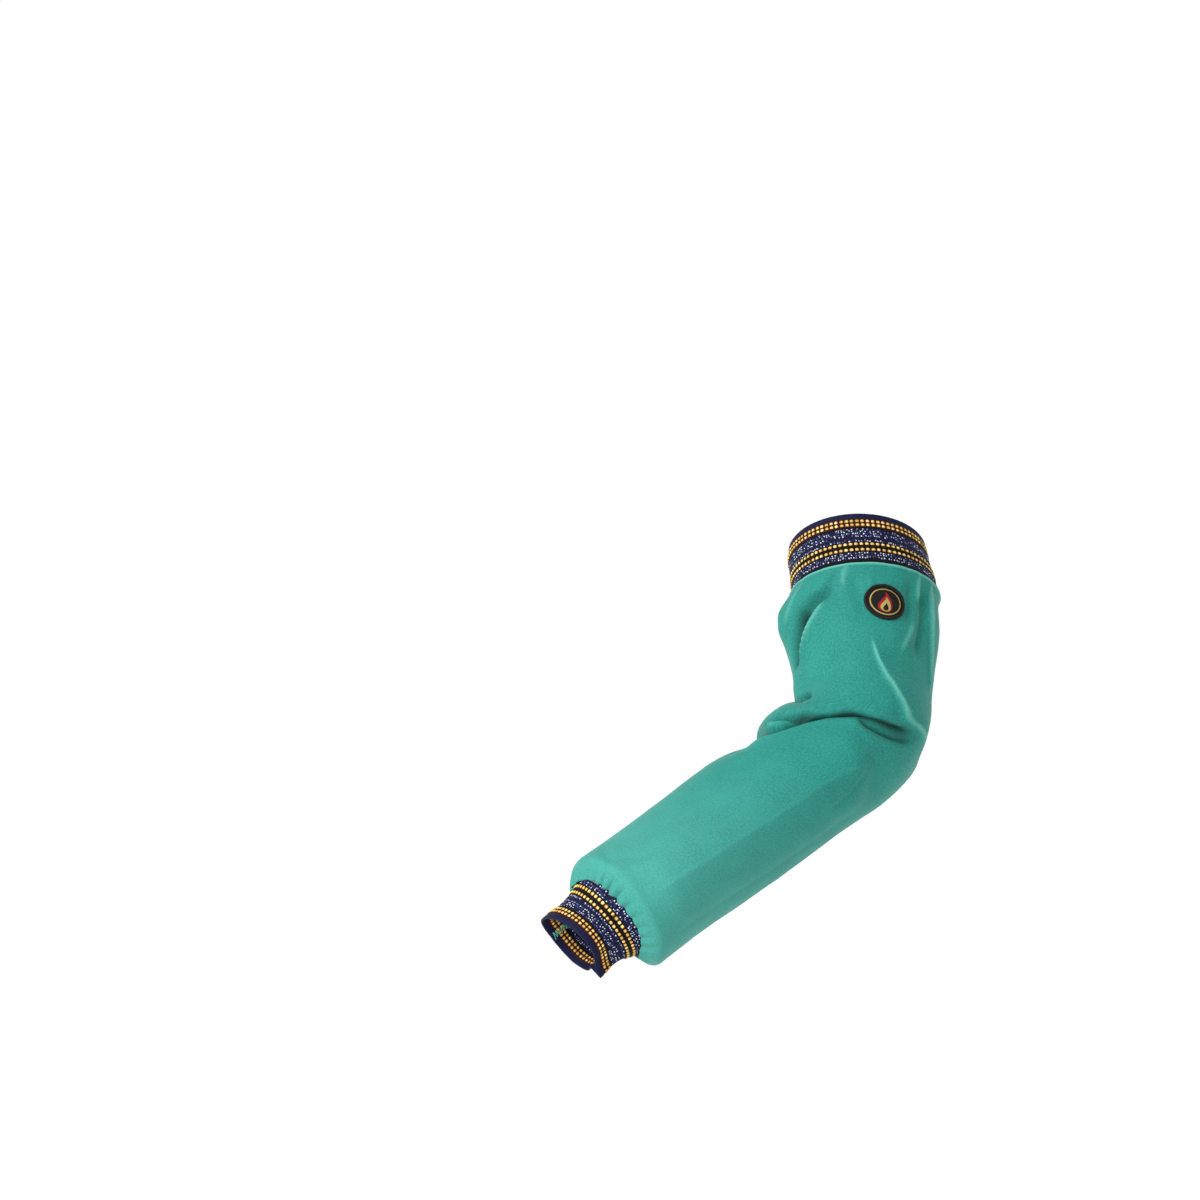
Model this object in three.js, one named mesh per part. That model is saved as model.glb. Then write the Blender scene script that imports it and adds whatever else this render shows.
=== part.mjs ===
// A welding sleeve as it is worn on a bent arm: a tube of heavy green cotton, gathered into a striped
// elastic band at the upper arm and into a second one at the wrist, with a small round patch outside.
// Millimetres, +Z up. The origin is the middle of the upper band's free rim, where the arm goes in.
// The side of the arm that faces -Y is called near, and the elbow's corner side is called out.
import * as THREE from "three";

// The arm's line, from the upper band's rim to the wrist band's rim
const upperLength = 190; // rim to the elbow's corner
const foreLength = 327; // elbow's corner to the other rim
const elbowRadius = 66;
const upperLean = 37; // degrees from plumb, the elbow towards -Y
const upperTilt = 1.3; // degrees, the elbow towards -X
const foreDrop = 29.4; // degrees below level
const foreTurn = 27.7; // degrees from -X towards -Y
const cuffDroop = 9; // degrees that the wrist band hangs

// Cloth
const clothThickness = 1.2;
const upperClothGirth = 432;
const wristClothGirth = 352;
const upperShoulder = 24; // length over which the cloth opens out from the upper band
const wristShoulder = 15;

// Elastic bands, which are cut from one webbing
const bandWidth = 50.8;
const bandThickness = 1.8;
const ridgeHeight = 0.5; // the gold rows stand this proud
const upperRimGirth = 386;
const upperSeamGirth = 408;
const wristRimGirth = 190;
const wristSeamGirth = 252;
const wristFlatness = 0.84; // the wrist band's near to far size over its other size
const seamOverlap = 6; // band beyond the seam, under the cloth
const wristRoll = 7; // the cloth rolls over the wrist band by this
const seamClearance = 0.3;

// Patch
const patchDiameter = 38;
const patchThickness = 1;
const patchAt = 0.3; // share of the way from the band's seam to the elbow
const patchAround = 12; // degrees from near towards out

// How fine the surfaces are
const roundSteps = 64;
const gatherCount = 16;

const radians = THREE.MathUtils.degToRad;
const mix = THREE.MathUtils.lerp;
const fullTurn = 2 * Math.PI;

// The cloth's cross-section along the sleeve. at is 0 at the upper seam, 1 at the elbow and 2 at the
// wrist seam. near, out and inner are half sizes and centre is the section's shift outwards, all as
// shares of the cloth's own radius there.
const sectionRows = [
  { at: 0, near: 0.97, out: 1.02, centre: 0.01 },
  { at: 0.25, near: 0.96, out: 1.03, centre: 0.03 },
  { at: 0.5, near: 0.98, out: 0.97, centre: 0.05 },
  { at: 0.8, near: 1.02, out: 0.9, centre: 0.07 },
  { at: 1, near: 1.05, out: 0.91, centre: 0.06 },
  { at: 1.2, near: 1.02, out: 0.92, centre: 0.02 },
  { at: 1.5, near: 0.98, out: 0.96, centre: 0.02 },
  { at: 1.8, near: 0.97, out: 0.95, centre: 0.02 },
  { at: 2, near: 0.97, out: 0.97, centre: 0 },
];

// The crease that the upper arm's cloth makes where it hangs over the forearm's, once round the elbow.
// around is in degrees from near towards out, and lip, width and crease are the lip's height and
// width and the crease's depth, as shares of the cloth's mean radius.
const creaseRows = [
  { around: -180, at: 1.18, lip: 0.04, width: 0.3, crease: 0.04 },
  { around: -120, at: 1.26, lip: 0.09, width: 0.25, crease: 0.15 },
  { around: -70, at: 1.29, lip: 0.1, width: 0.22, crease: 0.24 },
  { around: -40, at: 1.29, lip: 0.12, width: 0.26, crease: 0.2 },
  { around: -20, at: 1.18, lip: 0.11, width: 0.28, crease: 0.14 },
  { around: 0, at: 1.07, lip: 0.12, width: 0.26, crease: 0.16 },
  { around: 22, at: 1.035, lip: 0.12, width: 0.2, crease: 0.17 },
  { around: 45, at: 1.025, lip: 0.12, width: 0.14, crease: 0.16 },
  { around: 70, at: 1.01, lip: 0.1, width: 0.12, crease: 0.12 },
  { around: 105, at: 1.01, lip: 0, width: 0.2, crease: 0 },
  { around: 150, at: 1.1, lip: 0, width: 0.3, crease: 0 },
  { around: 180, at: 1.18, lip: 0.04, width: 0.3, crease: 0.04 },
];
const creaseWidth = 0.15; // share of the mean radius, half of it on the lip's side
const slantStart = 0.4; // the rows of the surface turn to follow the crease from here
const slantEnd = 1.9;

// Other folds in the cloth, each a straight stroke from one place to another, with its width and
// height as shares of the cloth's mean radius. A row with a negative height is a valley, and a sharp
// one comes to an edge.
const foldRows = [
  { name: "notch over the lip", at: [1.02, 1.1], around: [-110, -42], width: 0.11, height: -0.15 },
  { name: "ridge to the elbow", at: [0.78, 0.97], around: [9, 30], width: 0.12, height: 0.06 },
  { name: "inner dent", at: [0.14, 0.5], around: [-60, -80], width: 0.15, height: -0.14 },
  { name: "ridge by the dent", at: [0.2, 0.36], around: [-36, -46], width: 0.13, height: 0.07 },
  { name: "ridge under the dent", at: [0.36, 0.6], around: [-46, -78], width: 0.13, height: 0.07 },
  { name: "bulge by the seam", at: [0.08, 0.24], around: [-90, -90], width: 0.25, height: 0.07 },
  { name: "pressed edge", at: [1.1, 1.94], around: [34, 24], width: 0.8, height: 0.09, sharp: true },
];

// Helpers
function smooth(share) {
  const t = THREE.MathUtils.clamp(share, 0, 1);
  return t * t * (3 - 2 * t);
}

// A column of a table at a place between its rows, on a smooth curve through them
function tableAt(rows, key, column, place) {
  const next = THREE.MathUtils.clamp(rows.filter((row) => row[key] < place).length, 1, rows.length - 1);
  const slopeAt = (i) => {
    const [before, after] = [rows[Math.max(0, i - 1)], rows[Math.min(rows.length - 1, i + 1)]];
    return (after[column] - before[column]) / (after[key] - before[key]);
  };
  const [a, b] = [rows[next - 1], rows[next]];
  const span = b[key] - a[key];
  const t = THREE.MathUtils.clamp((place - a[key]) / span, 0, 1);
  const bow = t * (1 - t) * span * ((1 - t) * slopeAt(next - 1) - t * slopeAt(next));
  return mix(a[column], b[column], smooth(t)) + bow;
}

function radiusOf(girth) {
  return girth / fullTurn;
}

// The arm's line as stretches, each straight or turning about an axis
const down = new THREE.Vector3(0, 0, -1);
const upperWay = new THREE.Vector3(
  -Math.sin(radians(upperTilt)),
  -Math.sin(radians(upperLean)) * Math.cos(radians(upperTilt)),
  -Math.cos(radians(upperLean)) * Math.cos(radians(upperTilt)),
);
const foreWay = new THREE.Vector3(
  -Math.cos(radians(foreDrop)) * Math.cos(radians(foreTurn)),
  -Math.cos(radians(foreDrop)) * Math.sin(radians(foreTurn)),
  -Math.sin(radians(foreDrop)),
);
const elbowTurn = upperWay.angleTo(foreWay);
const elbowAxis = new THREE.Vector3().crossVectors(upperWay, foreWay).normalize();
const droopAxis = new THREE.Vector3().crossVectors(foreWay, down).normalize();
const cornerLength = elbowRadius * Math.tan(elbowTurn / 2);
const stretches = [
  { length: upperLength - cornerLength, turn: 0, about: elbowAxis },
  { length: elbowRadius * elbowTurn, turn: elbowTurn, about: elbowAxis },
  { length: foreLength - cornerLength - bandWidth, turn: 0, about: elbowAxis },
  { length: bandWidth, turn: radians(cuffDroop), about: droopAxis },
];
const lineLength = stretches.reduce((sum, stretch) => sum + stretch.length, 0);
const elbowDistance = stretches[0].length + stretches[1].length / 2;
const wristEdgeDistance = lineLength - bandWidth + wristRoll;

// The point and the three directions of the arm's line, a distance from the upper rim
function frameAt(distance) {
  const frame = {
    point: new THREE.Vector3(),
    along: upperWay.clone(),
    near: elbowAxis.clone().negate(),
  };
  let left = distance;
  for (const [index, { length, turn, about }] of stretches.entries()) {
    const run = index === stretches.length - 1 ? left : Math.min(left, length);
    const angle = (turn * run) / length;
    const bend = length / (turn || 1);
    const inward = new THREE.Vector3().crossVectors(about, frame.along);
    frame.point.addScaledVector(frame.along, turn ? bend * Math.sin(angle) : run);
    frame.point.addScaledVector(inward, turn ? bend * (1 - Math.cos(angle)) : 0);
    frame.along.applyAxisAngle(about, angle);
    frame.near.applyAxisAngle(about, angle);
    left -= run;
    if (left <= 0) break;
  }
  frame.out = new THREE.Vector3().crossVectors(frame.near, frame.along);
  return frame;
}

// A point of a cross-section: half sizes along near and out, a shift outwards, and a lift off the oval
function ovalPoint(frame, halfNear, halfOut, centre, around, lift) {
  const normal = new THREE.Vector2(halfOut * Math.cos(around), halfNear * Math.sin(around)).normalize();
  return frame.point
    .clone()
    .addScaledVector(frame.near, halfNear * Math.cos(around) + lift * normal.x)
    .addScaledVector(frame.out, centre + halfOut * Math.sin(around) + lift * normal.y);
}

// Sections of the cloth
function distanceOf(at) {
  if (at <= 1) return mix(bandWidth, elbowDistance, at);
  return mix(elbowDistance, wristEdgeDistance, at - 1);
}

// The mean radius of the cloth, which folds are measured in
const meanRadius = (radiusOf(upperClothGirth) + radiusOf(wristClothGirth)) / 2;

function turnBetween(from, to) {
  return Math.atan2(Math.sin(to - from), Math.cos(to - from));
}

// Height of the lip and the crease under it, from the way past the crease along the sleeve
function creaseLift(at, around) {
  const turn = THREE.MathUtils.radToDeg(turnBetween(0, around));
  const column = (name) => tableAt(creaseRows, "around", name, turn);
  const past = (distanceOf(at) - distanceOf(column("at"))) / meanRadius;
  const lip = Math.exp(-((past / column("width") + 1) ** 2));
  const crease = Math.exp(-((past / (past > 0 ? creaseWidth : creaseWidth / 2)) ** 2));
  return meanRadius * (column("lip") * lip - column("crease") * crease);
}

// Where a row of the surface lies, which follows the crease near the elbow
function slantedAt(station, around) {
  const turn = THREE.MathUtils.radToDeg(turnBetween(0, around));
  const shift = tableAt(creaseRows, "around", "at", turn) - 1;
  const before = smooth((station - slantStart) / (1 - slantStart));
  const after = smooth((slantEnd - station) / (slantEnd - 1));
  return station + shift * before * after;
}

// Height of every other fold at a place on the cloth
function foldLift(at, around) {
  const place = new THREE.Vector2();
  let lift = 0;
  for (const fold of foldRows) {
    const start = new THREE.Vector2(distanceOf(fold.at[0]), 0);
    const way = new THREE.Vector2(
      distanceOf(fold.at[1]) - start.x,
      radians(fold.around[1] - fold.around[0]) * meanRadius,
    );
    place.set(distanceOf(at), turnBetween(radians(fold.around[0]), around) * meanRadius).sub(start);
    const share = THREE.MathUtils.clamp(place.dot(way) / way.lengthSq(), 0, 1);
    const away = place.distanceTo(way.multiplyScalar(share)) / (fold.width * meanRadius);
    lift += fold.height * meanRadius * (fold.sharp ? Math.max(0, 1 - away) : Math.exp(-away * away));
  }
  return lift;
}

// Gathers that fan out from each seam
const gatherHeight = 0.05; // share of the mean radius
const gatherReach = 1.4; // in shoulder lengths
const upperGathers = 0.25; // height of the upper gathers to the wrist's

function gatherLift(distance, around) {
  const upper = 1 - smooth((distance - bandWidth) / (upperShoulder * gatherReach));
  const wrist = 1 - smooth((wristEdgeDistance - distance) / (wristShoulder * gatherReach));
  const wave = 0.5 + 0.5 * Math.cos(gatherCount * around);
  return wave * gatherHeight * meanRadius * (upperGathers * upper + wrist);
}

// Elastic bands: the girth of the outer face at a share of the way from rim to seam
const upperFlare = [
  { share: 0, girth: upperRimGirth },
  { share: 1, girth: upperSeamGirth },
];
const wristFlare = [
  { share: 0, girth: wristRimGirth },
  { share: 0.35, girth: wristRimGirth },
  { share: 0.75, girth: mix(wristRimGirth, wristSeamGirth, 0.5) },
  { share: 1, girth: wristSeamGirth },
];

// Half sizes of a band's outer face, near and out, at a share of its width
function bandHalves(flare, flatness, share, height) {
  const out = (2 * (radiusOf(tableAt(flare, "share", "girth", share)) + height)) / (1 + flatness);
  return { near: out * flatness, out, centre: 0 };
}

// The cloth's outer face. It rises from the band that it covers to its own section.
function clothHalves(at) {
  const distance = distanceOf(at);
  const radius = radiusOf(mix(upperClothGirth, wristClothGirth, at / 2));
  const cover = seamClearance + clothThickness;
  const upperEdge = bandHalves(upperFlare, 1, 1, cover);
  const wristEdge = bandHalves(wristFlare, wristFlatness, 1 - wristRoll / bandWidth, cover);
  const fromUpper = Math.sqrt(smooth((distance - bandWidth) / upperShoulder));
  const fromWrist = Math.sqrt(smooth((wristEdgeDistance - distance) / wristShoulder));
  const half = (name) =>
    mix(
      wristEdge[name],
      mix(upperEdge[name], radius * tableAt(sectionRows, "at", name, at), fromUpper),
      fromWrist,
    );
  return { near: half("near"), out: half("out"), centre: half("centre") };
}

function clothPoint(at, around, lift = 0) {
  const distance = distanceOf(at);
  const { near, out, centre } = clothHalves(at);
  const offUpper = smooth((distance - bandWidth) / upperShoulder);
  const offWrist = smooth((wristEdgeDistance - distance) / wristShoulder);
  const folds = (creaseLift(at, around) + foldLift(at, around)) * offUpper * offWrist;
  const height = folds + gatherLift(distance, around) + lift;
  return ovalPoint(frameAt(distance), near, out, centre, around, height);
}

// A hollow tube from rings of points, each ring given as an outer and an inner one
function tubeGeometry(outerRings, innerRings) {
  const rings = [...outerRings, ...innerRings.toReversed()];
  const count = rings[0].length;
  const positions = rings.flat().flatMap((point) => point.toArray());
  const index = [];
  rings.forEach((ring, i) => {
    const next = (i + 1) % rings.length;
    ring.forEach((_, j) => {
      const k = (j + 1) % count;
      const [a, b, c, d] = [i * count + j, i * count + k, next * count + k, next * count + j];
      index.push(a, c, b, a, d, c);
    });
  });
  const geometry = new THREE.BufferGeometry();
  geometry.setAttribute("position", new THREE.Float32BufferAttribute(positions, 3));
  geometry.setIndex(index);
  return geometry;
}

// The rings moved inwards by a wall's thickness, along the surface's own normals
function innerRingsOf(rings, thickness) {
  return rings.map((ring, i) =>
    ring.map((point, j) => {
      const before = rings[Math.max(0, i - 1)][j];
      const after = rings[Math.min(rings.length - 1, i + 1)][j];
      const left = ring[(j + ring.length - 1) % ring.length];
      const right = ring[(j + 1) % ring.length];
      const along = new THREE.Vector3().subVectors(after, before);
      const round = new THREE.Vector3().subVectors(right, left);
      const inward = new THREE.Vector3().crossVectors(round, along).normalize();
      return point.clone().addScaledVector(inward, thickness);
    }),
  );
}

function ringOf(pointAt) {
  return Array.from({ length: roundSteps }, (_, step) => pointAt((fullTurn * step) / roundSteps));
}

// Pieces
const clothColour = "#2fa085";
const bandColour = "#1c2350";
const patchColour = "#191613";

function piece(name, geometry, colour, roughness) {
  geometry.computeVertexNormals();
  const mesh = new THREE.Mesh(
    geometry,
    new THREE.MeshStandardMaterial({ color: colour, roughness, metalness: 0 }),
  );
  mesh.name = name;
  return mesh;
}

// Stations along the cloth, closer together at the seams and at the elbow's crease
const clothStations = [
  0, 0.04, 0.1, 0.2, 0.32, 0.44, 0.55, 0.65, 0.73, 0.8, 0.86, 0.91, 0.95, 0.98, 1, 1.02, 1.045, 1.08,
  1.13, 1.2, 1.3, 1.42, 1.55, 1.68, 1.8, 1.88, 1.94, 1.97, 1.99, 2,
];

function sleeveTube() {
  const outer = clothStations.map((station) =>
    ringOf((around) => clothPoint(slantedAt(station, around), around)),
  );
  return tubeGeometry(outer, innerRingsOf(outer, clothThickness));
}

// Stations across a band, as shares of its width from the rim: the height is a share of the ridge's
const bandRows = [
  { share: 0, height: 0 },
  { share: 0.12, height: 0 },
  { share: 0.14, height: 1 },
  { share: 0.26, height: 1 },
  { share: 0.28, height: 0 },
  { share: 0.58, height: 0 },
  { share: 0.6, height: 1 },
  { share: 0.75, height: 1 },
  { share: 0.77, height: 0 },
  { share: 1 - seamOverlap / bandWidth, height: 0 },
  { share: 1 + seamOverlap / bandWidth, height: 0 },
];
const bandInnerShares = [0, 0.35, 0.75, 1 + seamOverlap / bandWidth];

function bandTube(flare, flatness, distanceAt) {
  const ringAt = (share, height) => {
    const { near, out } = bandHalves(flare, flatness, share, height);
    const frame = frameAt(distanceAt(share));
    return ringOf((around) => ovalPoint(frame, near, out, 0, around, 0));
  };
  const outer = bandRows.map(({ share, height }) => ringAt(share, height * ridgeHeight));
  const inner = bandInnerShares.map((share) => ringAt(share, -bandThickness));
  return { outer, inner };
}

function upperBand() {
  const { outer, inner } = bandTube(upperFlare, 1, (share) => share * bandWidth);
  return tubeGeometry(outer, inner);
}

function wristBand() {
  const { outer, inner } = bandTube(wristFlare, wristFlatness, (share) => lineLength - share * bandWidth);
  return tubeGeometry(outer.toReversed(), inner.toReversed());
}

// A round patch that follows the cloth under it
const patchRings = 4;
const patchSteps = 24;

function roundPatch() {
  const middle = distanceOf(patchAt);
  const scale = 1 / (elbowDistance - bandWidth);
  const radiusHere = radiusOf(mix(upperClothGirth, wristClothGirth, patchAt / 2));
  const pointAt = (radius, angle, lift) =>
    clothPoint(
      (middle + radius * Math.sin(angle) - bandWidth) * scale,
      radians(patchAround) + (radius * Math.cos(angle)) / radiusHere,
      lift,
    );
  const positions = [];
  const index = [];
  for (const lift of [seamClearance, seamClearance + patchThickness]) {
    positions.push(pointAt(0, 0, lift));
    for (let ring = 1; ring <= patchRings; ring++) {
      for (let step = 0; step < patchSteps; step++) {
        const radius = ((patchDiameter / 2) * ring) / patchRings;
        positions.push(pointAt(radius, (fullTurn * step) / patchSteps, lift));
      }
    }
  }
  const layer = 1 + patchRings * patchSteps;
  const at = (side, ring, step) => side * layer + 1 + (ring - 1) * patchSteps + (step % patchSteps);
  for (let step = 0; step < patchSteps; step++) {
    index.push(0, at(0, 1, step), at(0, 1, step + 1));
    index.push(layer, at(1, 1, step + 1), at(1, 1, step));
    for (let ring = 1; ring < patchRings; ring++) {
      const [a, b] = [at(0, ring, step), at(0, ring, step + 1)];
      const [c, d] = [at(0, ring + 1, step + 1), at(0, ring + 1, step)];
      index.push(a, c, b, a, d, c);
      index.push(a + layer, b + layer, c + layer, a + layer, c + layer, d + layer);
    }
    const [e, f] = [at(0, patchRings, step), at(0, patchRings, step + 1)];
    index.push(e, f + layer, f, e, e + layer, f + layer);
  }
  const geometry = new THREE.BufferGeometry();
  const numbers = positions.flatMap((point) => point.toArray());
  geometry.setAttribute("position", new THREE.Float32BufferAttribute(numbers, 3));
  geometry.setIndex(index);
  return geometry;
}

const sleeve = new THREE.Group();
sleeve.add(piece("sleeve_tube", sleeveTube(), clothColour, 0.85));
sleeve.add(piece("upper_band", upperBand(), bandColour, 0.8));
sleeve.add(piece("wrist_band", wristBand(), bandColour, 0.8));
sleeve.add(piece("round_patch", roundPatch(), patchColour, 0.7));

export default sleeve;
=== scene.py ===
import math

import bmesh
import bpy
import numpy as np
from mathutils import Matrix, Vector, noise


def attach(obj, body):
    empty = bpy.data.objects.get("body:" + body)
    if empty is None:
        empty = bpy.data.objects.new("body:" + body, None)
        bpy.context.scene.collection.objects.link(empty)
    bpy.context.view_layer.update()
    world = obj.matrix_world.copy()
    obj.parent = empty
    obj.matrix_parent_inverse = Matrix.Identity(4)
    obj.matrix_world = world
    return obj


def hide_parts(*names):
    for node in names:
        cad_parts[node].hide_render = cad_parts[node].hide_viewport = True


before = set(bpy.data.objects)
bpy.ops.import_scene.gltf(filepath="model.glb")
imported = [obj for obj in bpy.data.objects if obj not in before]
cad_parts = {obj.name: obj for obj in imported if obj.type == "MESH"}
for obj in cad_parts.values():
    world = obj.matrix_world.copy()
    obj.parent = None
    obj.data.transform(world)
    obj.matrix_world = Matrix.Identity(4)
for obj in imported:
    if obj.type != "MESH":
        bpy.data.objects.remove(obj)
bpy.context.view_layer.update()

print("frame loaded:", ", ".join(sorted(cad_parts)))

# A welding sleeve, bent at the elbow. Metres, in the frame of the CAD model.

view = {
    "distance": 3.0,             # from the camera to the upper band's rim
    "elevation": 5.0,            # degrees above level
    "pixel": 0.0009,             # size of a pixel at the rim
    "rimPixel": (857, 551),      # where the middle of the rim shows
    "frame": 1200,
    "sensor": 36.0,
}


def makeCamera():
    tip = math.radians(view["elevation"])
    right = Vector((1, 0, 0))
    up = Vector((0, math.sin(tip), math.cos(tip)))
    back = Vector((0, -math.cos(tip), math.sin(tip)))
    middle = view["frame"] / 2
    across = (view["rimPixel"][0] - middle) * view["pixel"]
    rise = (middle - view["rimPixel"][1]) * view["pixel"]
    data = bpy.data.cameras.new("camera")
    data.sensor_width = view["sensor"]
    data.lens = view["sensor"] * view["distance"] / (view["pixel"] * view["frame"])
    data.clip_end = 60
    camera = bpy.data.objects.new("camera", data)
    camera.location = view["distance"] * back - across * right - rise * up
    camera.rotation_euler = (math.radians(90) - tip, 0, 0)
    bpy.context.collection.objects.link(camera)
    bpy.context.scene.camera = camera


makeCamera()
print("camera set")


# Small helpers

def smooth(share):
    t = np.clip(share, 0, 1)
    return t * t * (3 - 2 * t)


def mix(a, b, share):
    return a + (b - a) * share


def tableAt(rows, place):
    # every column after the first, at places along the first, on a smooth curve through the rows
    table = np.array(rows, float)
    keys, columns = table[:, 0], table[:, 1:]
    slopes = np.empty_like(columns)
    slopes[1:-1] = (columns[2:] - columns[:-2]) / (keys[2:] - keys[:-2])[:, None]
    slopes[0] = (columns[1] - columns[0]) / (keys[1] - keys[0])
    slopes[-1] = (columns[-1] - columns[-2]) / (keys[-1] - keys[-2])
    place = np.asarray(place, float)
    i = np.clip(np.searchsorted(keys, place) - 1, 0, len(keys) - 2)
    span = (keys[i + 1] - keys[i])[..., None]
    t = np.clip((place - keys[i])[..., None] / span, 0, 1)
    bow = t * (1 - t) * span * ((1 - t) * slopes[i] - t * slopes[i + 1])
    return np.moveaxis(columns[i] + (columns[i + 1] - columns[i]) * smooth(t) + bow, -1, 0)


def turnBetween(start, end):
    return (end - start + math.pi) % (2 * math.pi) - math.pi


def noiseAt(points, size, seed):
    shift = Vector((seed * 17.3, seed * 5.1, seed * 9.7))
    return np.array([noise.noise(Vector(p) / size + shift) for p in points])


# The sleeve's middle line, which every piece follows
sleeve = {
    "upperLength": 0.190,        # rim to the elbow's corner
    "foreLength": 0.327,         # elbow's corner to the other rim
    "elbowRadius": 0.066,
    "upperLean": 37,             # degrees from plumb
    "upperTilt": 1.3,
    "foreDrop": 29.4,            # degrees below level
    "foreTurn": 27.7,
    "cuffDroop": 9,
    "bandWidth": 0.0508,
    "step": 0.0005,
}


def makeLine():
    lean, tilt = math.radians(sleeve["upperLean"]), math.radians(sleeve["upperTilt"])
    drop, turn = math.radians(sleeve["foreDrop"]), math.radians(sleeve["foreTurn"])
    upperWay = Vector((-math.sin(tilt), -math.sin(lean) * math.cos(tilt), -math.cos(lean) * math.cos(tilt)))
    foreWay = Vector((-math.cos(drop) * math.cos(turn), -math.cos(drop) * math.sin(turn), -math.sin(drop)))
    bend = upperWay.angle(foreWay)
    elbowAxis = upperWay.cross(foreWay).normalized()
    droopAxis = foreWay.cross(Vector((0, 0, -1))).normalized()
    corner = sleeve["elbowRadius"] * math.tan(bend / 2)
    stretches = [
        (sleeve["upperLength"] - corner, 0, elbowAxis),
        (sleeve["elbowRadius"] * bend, bend, elbowAxis),
        (sleeve["foreLength"] - corner - sleeve["bandWidth"], 0, elbowAxis),
        (sleeve["bandWidth"], math.radians(sleeve["cuffDroop"]), droopAxis),
    ]
    point, along, near = Vector((0, 0, 0)), upperWay.copy(), -elbowAxis
    distance = 0
    rows = [(distance, *point, *along, *near)]
    for length, angle, axis in stretches:
        count = round(length / sleeve["step"])
        half = Matrix.Rotation(angle / count / 2, 3, axis)
        for _ in range(count):
            along = half @ along
            point = point + along * (length / count)
            along, near = half @ along, half @ half @ near
            distance += length / count
            rows.append((distance, *point, *along, *near))
    elbow = stretches[0][0] + stretches[1][0] / 2
    return np.array(rows), elbow


middleLine, elbowDistance = makeLine()
lineLength = middleLine[-1, 0]


def frameAt(distance):
    # the middle line's point, and its directions to the near side and outwards
    d = np.clip(distance, 0, lineLength)
    column = [np.interp(d, middleLine[:, 0], middleLine[:, k]) for k in range(1, 10)]
    point, along, near = (np.stack(column[k:k + 3], -1) for k in (0, 3, 6))
    out = np.cross(near, along)
    return point + along * (distance - d)[..., None], near, out


def ovalPoint(distance, halfNear, halfOut, centre, around, lift):
    point, near, out = frameAt(distance)
    c, s = np.cos(around), np.sin(around)
    size = np.hypot(halfOut * c, halfNear * s)
    alongNear = halfNear * c + lift * halfOut * c / size
    alongOut = centre + halfOut * s + lift * halfNear * s / size
    return point + near * alongNear[..., None] + out * alongOut[..., None]


# Elastic bands
band = {
    "width": sleeve["bandWidth"],
    "thickness": 0.0018,
    "upperRim": 0.386,           # girths
    "upperSeam": 0.408,
    "wristRim": 0.190,
    "wristSeam": 0.252,
    "wristFlatness": 0.84,
    "overlap": 0.006,            # under the cloth's edge
    "upperRibs": 84,
    "wristRibs": 54,
    "stepsPerRib": 7,
    "beadHeight": 0.0009,
    "beadLength": 0.82,          # share of a rib
    "ribHeight": 0.00035,
    "selvedge": 0.105,           # share of the width without ribs
    "blend": 0.02,               # and the share over which they rise beside it
    "selvedgeHeight": 0.00025,
    "fade": 0.03,                # share of the width over which relief dies away under the cloth
    "leafReach": 0.7,            # share of the width that the pulled rim draws with it
    "seamShift": 0.006,          # the upper seam lies this far outwards
    "seamTilt": 0.004,           # and this far lower on its near side
}
upperFlare = [(0, band["upperRim"]), (1, band["upperSeam"])]
wristFlare = [
    (0, band["wristRim"]),
    (0.35, band["wristRim"]),
    (0.75, mix(band["wristRim"], band["wristSeam"], 0.5)),
    (1, band["wristSeam"]),
]

# The webbing's rows from the free rim, each from start to end as shares of the band's width
goldRows = [(0.13, 0.19), (0.205, 0.265), (0.582, 0.642), (0.693, 0.753)]
fleckRows = [(0.31, 0.465), (0.515, 0.56), (0.77, 0.83), (0.84, 0.9)]
# the last black row, where the cloth's edge lies over the band, is painted shadow of the cloth
groundRows = [(0, "selvedge"), (0.103, "oxblood"), (0.272, "black"), (0.312, "navy"), (0.565, "black"),
              (0.765, "navy"), (0.905, "black")]


def bandHalves(flare, flatness, share, height):
    girth = tableAt(flare, share)[0]
    out = 2 * (girth / (2 * math.pi) + height) / (1 + flatness)
    return out * flatness, out


# The cloth
cloth = {
    "thickness": 0.0012,
    "upperGirth": 0.432,
    "wristGirth": 0.352,
    "upperShoulder": 0.024,      # length over which it opens out from a band
    "wristShoulder": 0.015,
    "wristRoll": 0.007,          # rolls over the wrist band by this
    "clearance": 0.0003,
    "columns": 256,
    "crowding": 0.35,            # of the columns towards the near side
    "rows": 176,
    "upperRows": 0.55,           # how closely rows lie above the elbow, against below it
    "wristGathers": 27,
    "gatherHeight": 0.0014,
    "gatherReach": 0.009,
    "scallop": 0.0028,
    "scallopReach": 0.012,
    "upperTucks": 21,
    "tuckHeight": 0.0005,
    "tuckReach": 0.02,
    "hemHeight": 0.0009,
    "hemWidth": 0.0013,
    "wristHem": 0.6,             # the hem's height at the wrist, as a share of that at the seam
    "tiltReach": 0.06,           # how far each edge's slope reaches into the cloth
    "levelReach": 0.05,
    "slackStart": 0.15,          # stations over which the slack dies away at the two edges
    "slackEnd": 0.1,
}
slackRows = [(1, 0.0007, 0.045), (2, 0.00025, 0.013)]    # small unevenness: its seed, height and size
wristEdge = lineLength - band["width"] + cloth["wristRoll"]
meanRadius = (cloth["upperGirth"] + cloth["wristGirth"]) / (4 * math.pi)

# at, then near, out and centre as shares of the cloth's radius. at is 0 at the upper seam, 1 at the
# elbow and 2 at the wrist's edge.
sectionRows = [
    (0, 0.97, 0.985, 0.02),
    (0.25, 0.96, 1.03, 0.03),
    (0.5, 0.98, 0.97, 0.05),
    (0.8, 1.02, 0.90, 0.07),
    (1, 1.05, 0.91, 0.06),
    (1.2, 1.02, 0.92, 0.02),
    (1.5, 0.98, 0.96, 0.02),
    (1.8, 0.97, 0.95, 0.02),
    (2, 0.97, 1.0, 0.03),
]

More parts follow.
